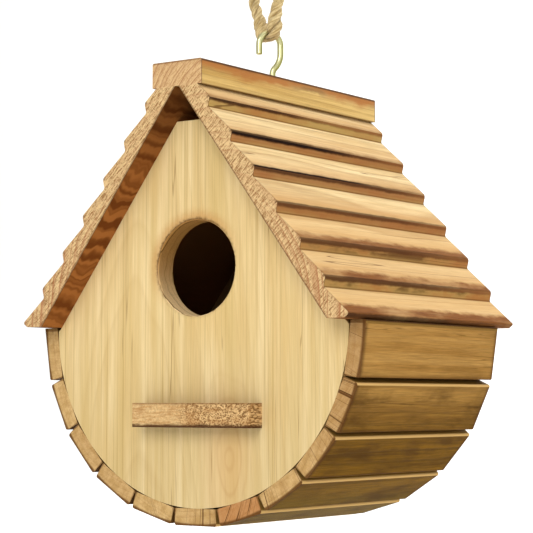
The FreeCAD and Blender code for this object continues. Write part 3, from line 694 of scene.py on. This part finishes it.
# Knot: each tail sideways from the middle and up from its foot, in millimetres, with its end below the top,
# and the binding, an oval coil whose two ends are tucked in
TAIL_ROUTE = ((2.6, 1.0), (2.7, 8.0), (3.0, 16.0), (5.2, 25.0))
TAIL_END = (7.4, 1.0)
TAIL_FLARE = 0.12
KNOT_STEP = 0.7 * MM
BINDING_DIAMETER = 3.8 * MM
BINDING_TURNS = 4.6
BINDING_LAY_SHARE = 0.7
BINDING_TAPER = 0.3
BINDING_STEPS = 64
BINDING_WIDE = 7.3 * MM
BINDING_DEEP = 5.0 * MM
BINDING_FOOT = 2.4 * MM
BINDING_HEIGHT = 15.4 * MM
TUCK_DEPTH = 0.35
TUCK_SHARE = 0.06


def in_rope_plane(along, height):
    """Point of the rope's own plane, given in metres from the seat of the hook."""
    sideways = Vector((math.cos(ROPE_PLANE_TURN), math.sin(ROPE_PLANE_TURN), 0))
    return SEAT + sideways * along + Vector((0, 0, height))


def add_object(name, data):
    """New object in the scene."""
    thing = bpy.data.objects.new(name, data)
    bpy.context.scene.collection.objects.link(thing)
    return thing


def smooth_object(name, mesh, material):
    """New object with smooth faces and one material."""
    data = bpy.data.meshes.new(name)
    mesh.to_mesh(data)
    mesh.free()
    for polygon in data.polygons:
        polygon.use_smooth = True
    data.materials.append(material)
    return add_object(name, data)


def smooth_route(name, points):
    """NURBS curve through a route of given points."""
    curve = bpy.data.curves.new(name, "CURVE")
    curve.dimensions = "3D"
    curve.resolution_u = 24
    spline = curve.splines.new("NURBS")
    spline.points.add(len(points) - 1)
    for control, point in zip(spline.points, points):
        control.co = (*point, 1.0)
    spline.order_u = 3
    spline.use_endpoint_u = True
    return curve


def even_points(curve, step):
    """Evenly spaced points along a curve."""
    holder = add_object(curve.name, curve)
    bpy.context.view_layer.update()
    mesh = bpy.data.meshes.new_from_object(holder.evaluated_get(bpy.context.evaluated_depsgraph_get()))
    raw = [vertex.co.copy() for vertex in mesh.vertices]
    bpy.data.objects.remove(holder)
    lengths = [0.0]
    for first, second in zip(raw, raw[1:]):
        lengths.append(lengths[-1] + (second - first).length)
    count = max(2, round(lengths[-1] / step))
    points = []
    at = 0
    for i in range(count + 1):
        target = lengths[-1] * i / count
        while at < len(raw) - 2 and lengths[at + 1] < target:
            at += 1
        span = lengths[at + 1] - lengths[at] or 1.0
        points.append(raw[at].lerp(raw[at + 1], (target - lengths[at]) / span))
    return points


def travelling_frames(points):
    """Direction, side and up at each point, carried along with the least twist."""
    frames = []
    side = None
    for i in range(len(points)):
        ahead = (points[min(i + 1, len(points) - 1)] - points[max(i - 1, 0)]).normalized()
        if side is None:
            side = ahead.orthogonal().normalized()
        side = (side - ahead * side.dot(ahead)).normalized()
        frames.append((ahead, side, ahead.cross(side)))
    return frames


def laid_rope(mesh, layers, points, diameter, lay_length, taper=0.0, squeeze=None):
    """Three strands laid round a line of points; each strand has its own yarns."""
    lay_layer, valley_shade_layer = layers
    strand = diameter / 2 / (1 + 2 / math.sqrt(3)) * STRAND_FULLNESS
    orbit = diameter / 2 - strand
    frames = travelling_frames(points)
    step = (points[1] - points[0]).length
    dice = random.Random(STRAND_SEED)
    waves = [(dice.uniform(0.5, 1.5), dice.uniform(0, 6.28)) for _ in range(STRANDS)]
    for number in range(STRANDS):
        rings = []
        for i, (point, (ahead, side, up)) in enumerate(zip(points, frames)):
            travel = i * step
            slack = SLACK_TURN * math.sin(travel / SLACK_LENGTH * waves[number][0] + waves[number][1])
            turn = math.tau * (travel / lay_length + number / STRANDS) + slack
            end = min(i, len(points) - 1 - i) * step
            swell = 1.0 - taper * max(0.0, 1 - end / (diameter * END_REACH)) ** 2
            press, spread = squeeze(point) if squeeze else (0.0, 1.0)
            swell *= spread
            away = side * math.cos(turn) + up * math.sin(turn)
            centre = point + away * orbit * swell
            tangent = (ahead + (up * math.cos(turn) - side * math.sin(turn)) * math.tau * orbit / lay_length)
            tangent.normalize()
            over = (away - tangent * away.dot(tangent)).normalized()
            beside = tangent.cross(over)
            spin = math.tau * travel / (lay_length * YARN_LAY_SHARE)
            ring = []
            for j in range(STRAND_SIDES):
                angle = math.tau * j / STRAND_SIDES
                ridge = math.cos(YARNS * angle - spin)
                radius = strand * (1 + YARN_RELIEF * ridge) * swell
                co = centre + (over * math.cos(angle) + beside * math.sin(angle)) * radius
                co.z += (point.z - co.z) * press
                vertex = mesh.verts.new(co)
                twisted = angle - spin / YARNS
                run = travel / MM * PATTERN_RUN + number * PATTERN_APART
                vertex[lay_layer] = Vector((math.cos(twisted) * PATTERN_RADIUS,
                                            math.sin(twisted) * PATTERN_RADIUS, run))
                # painted shade on the inner side of each strand and in the hollows between yarns
                inner = max(0.0, -math.cos(angle)) * STRAND_VALLEY_SHADE
                vertex[valley_shade_layer] = inner + max(0.0, -ridge) * YARN_VALLEY_SHADE
                ring.append(vertex)
            rings.append(ring)
        for first, second in zip(rings, rings[1:]):
            for j in range(STRAND_SIDES):
                k = (j + 1) % STRAND_SIDES
                mesh.faces.new((first[j], first[k], second[k], second[j]))
        for ring, flip in ((rings[0], True), (rings[-1], False)):
            hub = mesh.verts.new(sum((v.co for v in ring), Vector()) / STRAND_SIDES)
            hub[lay_layer] = ring[0][lay_layer]
            for j in range(STRAND_SIDES):
                pair = (ring[j], ring[(j + 1) % STRAND_SIDES])
                mesh.faces.new((hub, pair[1], pair[0]) if flip else (hub, pair[0], pair[1]))


def fibre_tree(material):
    """Node tree that scatters short stray fibres over a rope."""
    tree = bpy.data.node_groups.new("stray_fibres", "GeometryNodeTree")
    sockets = tree.interface
    sockets.new_socket("Geometry", in_out="INPUT", socket_type="NodeSocketGeometry")
    sockets.new_socket("Fibres per square metre", in_out="INPUT", socket_type="NodeSocketFloat")
    sockets.new_socket("Fibre length", in_out="INPUT", socket_type="NodeSocketFloat")
    sockets.new_socket("Fibre radius", in_out="INPUT", socket_type="NodeSocketFloat")
    sockets.new_socket("Seed", in_out="INPUT", socket_type="NodeSocketInt")
    sockets.new_socket("Geometry", in_out="OUTPUT", socket_type="NodeSocketGeometry")

    def add(kind, links=None, **settings):
        node = tree.nodes.new(kind)
        for name, value in settings.items():
            setattr(node, name, value)
        for key, value in (links or {}).items():
            if isinstance(value, bpy.types.NodeSocket):
                tree.links.new(value, node.inputs[key])
            else:
                node.inputs[key].default_value = value
        return node

    given = add("NodeGroupInput").outputs
    scatter = add("GeometryNodeDistributePointsOnFaces", {
        "Mesh": given["Geometry"], "Density": given["Fibres per square metre"], "Seed": given["Seed"]})
    hair = add("GeometryNodeCurveQuadraticBezier",
               {"Resolution": 4, "Start": (0, 0, -0.1), "Middle": (0.35, 0, 0.30), "End": (1.0, 0, 0.34)})
    profile = add("GeometryNodeCurvePrimitiveCircle", {"Resolution": 3, "Radius": given["Fibre radius"]})
    scaled = add("GeometryNodeTransform", {"Geometry": hair.outputs[0]})
    spread = add("ShaderNodeCombineXYZ", {i: given["Fibre length"] for i in range(3)})
    tree.links.new(spread.outputs[0], scaled.inputs["Scale"])
    tube = add("GeometryNodeCurveToMesh", {"Curve": scaled.outputs[0], "Profile Curve": profile.outputs[0],
                                           "Fill Caps": True})
    place = add("GeometryNodeInstanceOnPoints", {
        "Points": scatter.outputs["Points"], "Instance": tube.outputs[0],
        "Rotation": scatter.outputs["Rotation"]})
    swing = add("FunctionNodeRandomValue", {"Seed": given["Seed"]}, data_type="FLOAT_VECTOR")
    swing.inputs[0].default_value = (-FIBRE_LEAN, -FIBRE_LEAN, 0.0)
    swing.inputs[1].default_value = (FIBRE_LEAN, FIBRE_LEAN, 6.28)
    turned = add("GeometryNodeRotateInstances", {"Instances": place.outputs[0], "Rotation": swing.outputs[0]})
    size = add("FunctionNodeRandomValue", {"Seed": given["Seed"]}, data_type="FLOAT")
    size.inputs[2].default_value = FIBRE_SHORTEST
    size.inputs[3].default_value = 1.0
    sized = add("GeometryNodeScaleInstances", {"Instances": turned.outputs[0], "Scale": size.outputs[1]})
    joined = add("GeometryNodeJoinGeometry", {"Geometry": given["Geometry"]})
    tree.links.new(sized.outputs[0], joined.inputs[0])
    real = add("GeometryNodeRealizeInstances", {"Geometry": joined.outputs[0]})
    painted = add("GeometryNodeSetMaterial", {"Geometry": real.outputs[0], "Material": material})
    add("NodeGroupOutput", {"Geometry": painted.outputs[0]})
    return tree


def with_fibres(thing, tree, values):
    """Run the fibre tree on an object and keep the result as its plain mesh."""
    modifier = thing.modifiers.new("stray_fibres", "NODES")
    modifier.node_group = tree
    for item in tree.interface.items_tree:
        if item.in_out == "INPUT" and item.name in values:
            modifier[item.identifier] = values[item.name]
    bpy.context.view_layer.update()
    grown = bpy.data.meshes.new_from_object(thing.evaluated_get(bpy.context.evaluated_depsgraph_get()))
    thing.modifiers.remove(modifier)
    thing.data = grown


def rope_object(name, material, runs):
    """One mesh of laid rope from several lines of points."""
    mesh = bmesh.new()
    layers = (mesh.verts.layers.float_vector.new("lay"), mesh.verts.layers.float.new("valley_shade"))
    for run in runs:
        laid_rope(mesh, layers, **run)
    bmesh.ops.recalc_face_normals(mesh, faces=mesh.faces)
    return smooth_object(name, mesh, material)


def shown_node(name, material):
    """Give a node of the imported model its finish."""
    node = frame["nodes"][name]
    node.data.materials.clear()
    node.data.materials.append(material)
    return node


# --- settings ---

class BirdhouseSizes(bpy.types.PropertyGroup):
    """Sizes that a user may change."""
    rope_diameter: bpy.props.FloatProperty(
        name="Rope diameter", description="Outside of the laid rope", default=5.5 * MM, unit="LENGTH")
    rope_lay: bpy.props.FloatProperty(
        name="Rope lay", description="Length in which a strand goes once round", default=17.0 * MM,
        unit="LENGTH")
    fibre_length: bpy.props.FloatProperty(
        name="Stray fibre length", description="Longest fibre that stands off the rope", default=2.4 * MM,
        unit="LENGTH")
    fibre_density: bpy.props.FloatProperty(
        name="Stray fibres", description="Stray fibres on each square metre of rope", default=260000.0)
    floor_gap: bpy.props.FloatProperty(
        name="Floor gap", description="Studio floor below the house", default=90.0 * MM, unit="LENGTH")


class BirdhouseColours(bpy.types.PropertyGroup):
    """Colours that a user may change."""
    paper: bpy.props.FloatVectorProperty(
        name="Studio paper", description="Colour of the floor and the sky", subtype="COLOR", size=4,
        default=linear("#FFFFFF"), min=0.0, max=1.0)


# --- operators ---

def area_light(name, place, target, size, power):
    """Soft light that looks at a point; both places are given from the hub."""
    data = bpy.data.lights.new(name, "AREA")
    data.shape = "RECTANGLE"
    data.size = size[0]
    data.size_y = size[1]
    data.energy = power
    lamp = add_object(name, data)
    lamp.location = Vector((0, 0, HUB_Z)) + Vector(place)
    lamp.rotation_euler = (Vector(target) - Vector(place)).to_track_quat("-Z", "Y").to_euler()


# Stage: lens and sensor in millimetres, places in metres, turns in radians
CAMERA_LENS = 126.05
CAMERA_SENSOR = 36.0
CAMERA_NEAR = 0.05
CAMERA_X = 0.5312
CAMERA_Y = -0.7497
CAMERA_Z_FROM_HUB = -0.0352
CAMERA_TURN = math.radians(35.431)
CAMERA_TILT = math.radians(4.118)
FLOOR_HALF_WIDTH = 3.5
FLOOR_FRONT = -3.0
FLOOR_BACK = 1.6
FLOOR_BEND = 0.5
FLOOR_BEND_STEPS = 12
WALL_HEIGHT = 3.0
SKY_STRENGTH = 0.66
# Name, place and target with heights above the hub, width and height, watts
LIGHTS = (
    ("key_light", (0.45, -1.4, 0.7), (0, 0, 0), (0.9, 0.9), 14.0),
    ("side_light", (1.5, -0.1, 0.6), (0, 0, 0), (0.8, 1.0), 3.0),
    ("top_light", (0.3, 0.1, 1.5), (0, 0, 0), (0.9, 0.9), 8.0),
    ("wall_light", (0.0, 0.9, 1.6), (0.0, 2.4, 0.0), (3.0, 0.5), 40.0),
)


class BIRDHOUSE_OT_stage(bpy.types.Operator):
    """Pale floor, soft lights and the camera"""
    bl_idname = "birdhouse.stage"
    bl_label = "Studio stage"

    def execute(self, context):
        scene = context.scene
        scene.view_settings.view_transform = "Standard"
        self.make_camera(scene)
        self.make_floor(scene)
        for light in LIGHTS:
            area_light(*light)
        world = bpy.data.worlds.new("studio_sky")
        world.use_nodes = True
        background = world.node_tree.nodes["Background"]
        background.inputs["Color"].default_value = scene.birdhouse_colours.paper
        background.inputs["Strength"].default_value = SKY_STRENGTH
        scene.world = world
        return {"FINISHED"}

    def make_camera(self, scene):
        """Camera on the right of the front, a little below the middle of the barrel, tipped up."""
        data = bpy.data.cameras.new("studio_camera")
        data.lens = CAMERA_LENS
        data.sensor_width = CAMERA_SENSOR
        data.clip_start = CAMERA_NEAR
        camera = add_object("studio_camera", data)
        camera.location = Vector((CAMERA_X, CAMERA_Y, HUB_Z + CAMERA_Z_FROM_HUB))
        camera.rotation_euler = (math.pi / 2 + CAMERA_TILT, 0, CAMERA_TURN)
        scene.camera = camera

    def make_floor(self, scene):
        """Floor that sweeps up behind the house."""
        low = SLAT_LOW.z - scene.birdhouse_sizes.floor_gap
        mesh = bmesh.new()
        line = [(FLOOR_FRONT, 0.0)]
        for step in range(FLOOR_BEND_STEPS + 1):
            angle = math.radians(90 * step / FLOOR_BEND_STEPS)
            line.append((FLOOR_BACK + FLOOR_BEND * math.sin(angle), FLOOR_BEND * (1 - math.cos(angle))))
        line.append((FLOOR_BACK + FLOOR_BEND, WALL_HEIGHT))
        left, right = [[mesh.verts.new((x, y, low + z)) for y, z in line]
                       for x in (-FLOOR_HALF_WIDTH, FLOOR_HALF_WIDTH)]
        for i in range(len(line) - 1):
            mesh.faces.new((left[i], right[i], right[i + 1], left[i + 1]))
        floor = smooth_object("studio_floor", mesh, paper_material())


# Material of each panel: name, middle of its rings (across and deep), middle of its oval flame
# (across and above the hub), all in millimetres, and the entrance where it has one
PANELS = {
    "front_panel": ("sanded_pine_front", (-38.0, -140.0), (19.0, -62.0), ENTRANCE),
    "back_panel": ("sanded_pine_back", (52.0, -120.0), (-42.0, 8.0)),
    "cleanout_cover": ("sanded_pine_cover", (-60.0, 170.0), (14.0, -40.0)),
}


class BIRDHOUSE_OT_panels(bpy.types.Operator):
    """Sanded pine front, back and clean-out cover"""
    bl_idname = "birdhouse.panels"
    bl_label = "Panels"

    def execute(self, context):
        for name, looks in PANELS.items():
            shown_node(name, pine_panel_material(*looks))
        return {"FINISHED"}


class BIRDHOUSE_OT_slats(bpy.types.Operator):
    """Stained slats round the lower half"""
    bl_idname = "birdhouse.slats"
    bl_label = "Slats"

    def execute(self, context):
        material = slat_material()
        for name in SLAT_NAMES:
            shown_node(name, material)
        return {"FINISHED"}


class BIRDHOUSE_OT_roof(bpy.types.Operator):
    """Torched roof boards and ridge bar"""
    bl_idname = "birdhouse.roof"
    bl_label = "Roof"

    def execute(self, context):
        material = roof_material()
        shown_node("roof_board_left", material)
        shown_node("roof_board_right", material)
        shown_node("ridge_cap", cap_material())
        return {"FINISHED"}


class BIRDHOUSE_OT_perch(bpy.types.Operator):
    """Rough sawn perch"""
    bl_idname = "birdhouse.perch"
    bl_label = "Perch"

    def execute(self, context):
        shown_node("perch", perch_material())
        return {"FINISHED"}


class BIRDHOUSE_OT_hardware(bpy.types.Operator):
    """Brass hook, steel screws and pins"""
    bl_idname = "birdhouse.hardware"
    bl_label = "Hardware"

    def execute(self, context):
        shown_node("screw_hook", brass_material())
        steel = zinc_material()
        for name in ("perch_screws", "pivot_screw", "slat_pins_front", "slat_pins_back",
                     "roof_pins_front", "roof_pins_back", "cap_pins"):
            shown_node(name, steel)
        return {"FINISHED"}


class BIRDHOUSE_OT_rope(bpy.types.Operator):
    """Jute rope through the hook, with its knot and stray fibres"""
    bl_idname = "birdhouse.rope"
    bl_label = "Rope"

    def execute(self, context):
        sizes = context.scene.birdhouse_sizes
        material = jute_material()
        tree = fibre_tree(material)
        hairs = {"Fibres per square metre": sizes.fibre_density, "Fibre length": sizes.fibre_length,
                 "Fibre radius": FIBRE_RADIUS, "Seed": ROPE_SEED}
        diameter = sizes.rope_diameter
        curve = smooth_route("rope_route", [in_rope_plane(a * MM, h * MM) for a, h in ROPE_ROUTE])
        points = even_points(curve, ROPE_STEP)
        run = {"points": points, "diameter": diameter * ROPE_FULLNESS, "lay_length": sizes.rope_lay,
               "squeeze": self.pressed}
        rope = rope_object("jute_rope", material, [run])
        with_fibres(rope, tree, hairs)
        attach(rope, "hanger")
        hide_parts("hanging_rope")
        knot = self.make_knot(material, diameter, sizes.rope_lay)
        with_fibres(knot, tree, {**hairs, "Seed": KNOT_SEED})
        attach(knot, "hanger")
        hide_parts("rope_knot")
        length = sum((b - a).length for a, b in zip(points, points[1:]))
        return {"FINISHED"}

    def pressed(self, point):
        """How flat the rope is pressed under the wire at a point, and how much it spreads beside it."""
        away = (point - SEAT).length
        flat = min(1.0, max(0.0, (PRESS_REACH - away) / PRESS_FADE))
        full = max(0.0, 1 - abs(away - OPEN_PLACE) / OPEN_REACH)
        return PRESS_SHARE * flat * flat * (3 - 2 * flat), 1.0 + OPEN_SHARE * full

    def make_knot(self, material, diameter, lay):
        """Both strands bound by between four and five turns of thinner rope, with two short tails."""
        low, high = map(Vector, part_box("rope_knot"))
        runs = []
        for side in (-1, 1):
            tail = [Vector((side * aside * MM, 0, low.z + rise * MM)) for aside, rise in TAIL_ROUTE]
            tail.append(Vector((side * TAIL_END[0] * MM, 0, high.z - TAIL_END[1] * MM)))
            points = even_points(smooth_route("tail_route", tail), KNOT_STEP)
            runs.append({"points": points, "diameter": diameter, "lay_length": lay, "taper": -TAIL_FLARE})
        helix = []
        for i in range(BINDING_STEPS + 1):
            share = i / BINDING_STEPS
            angle = math.tau * BINDING_TURNS * share
            tuck = 1.0 - TUCK_DEPTH * max(0.0, 1 - min(share, 1 - share) / TUCK_SHARE)
            helix.append(Vector((math.cos(angle) * BINDING_WIDE * tuck, math.sin(angle) * BINDING_DEEP * tuck,
                                 low.z + BINDING_FOOT + share * BINDING_HEIGHT)))
        points = even_points(smooth_route("binding_route", helix), KNOT_STEP)
        runs.append({"points": points, "diameter": BINDING_DIAMETER, "lay_length": lay * BINDING_LAY_SHARE,
                     "taper": BINDING_TAPER})
        return rope_object("rope_binding", material, runs)


class BIRDHOUSE_PT_parts(bpy.types.Panel):
    """Buttons for the parts of the birdhouse"""
    bl_idname = "BIRDHOUSE_PT_parts"
    bl_label = "Birdhouse"
    bl_space_type = "VIEW_3D"
    bl_region_type = "UI"
    bl_category = "Birdhouse"

    def draw(self, context):
        for group in (context.scene.birdhouse_sizes, context.scene.birdhouse_colours):
            for name in type(group).__annotations__:
                self.layout.prop(group, name)
        for operator in OPERATORS:
            self.layout.operator(operator.bl_idname)


OPERATORS = (
    BIRDHOUSE_OT_stage,
    BIRDHOUSE_OT_rope,
    BIRDHOUSE_OT_panels,
    BIRDHOUSE_OT_slats,
    BIRDHOUSE_OT_roof,
    BIRDHOUSE_OT_perch,
    BIRDHOUSE_OT_hardware,
)
CLASSES = (BirdhouseSizes, BirdhouseColours, *OPERATORS, BIRDHOUSE_PT_parts)


def register():
    """Add the settings, operators and panel."""
    for item in CLASSES:
        bpy.utils.register_class(item)
    bpy.types.Scene.birdhouse_sizes = bpy.props.PointerProperty(type=BirdhouseSizes)
    bpy.types.Scene.birdhouse_colours = bpy.props.PointerProperty(type=BirdhouseColours)


def unregister():
    """Take them away again."""
    del bpy.types.Scene.birdhouse_colours
    del bpy.types.Scene.birdhouse_sizes
    for item in reversed(CLASSES):
        bpy.utils.unregister_class(item)


def main():
    """Build every part in order."""
    register()
    for operator in OPERATORS:
        group, name = operator.bl_idname.split(".")
        getattr(getattr(bpy.ops, group), name)()


if __name__ == "__main__":
    main()
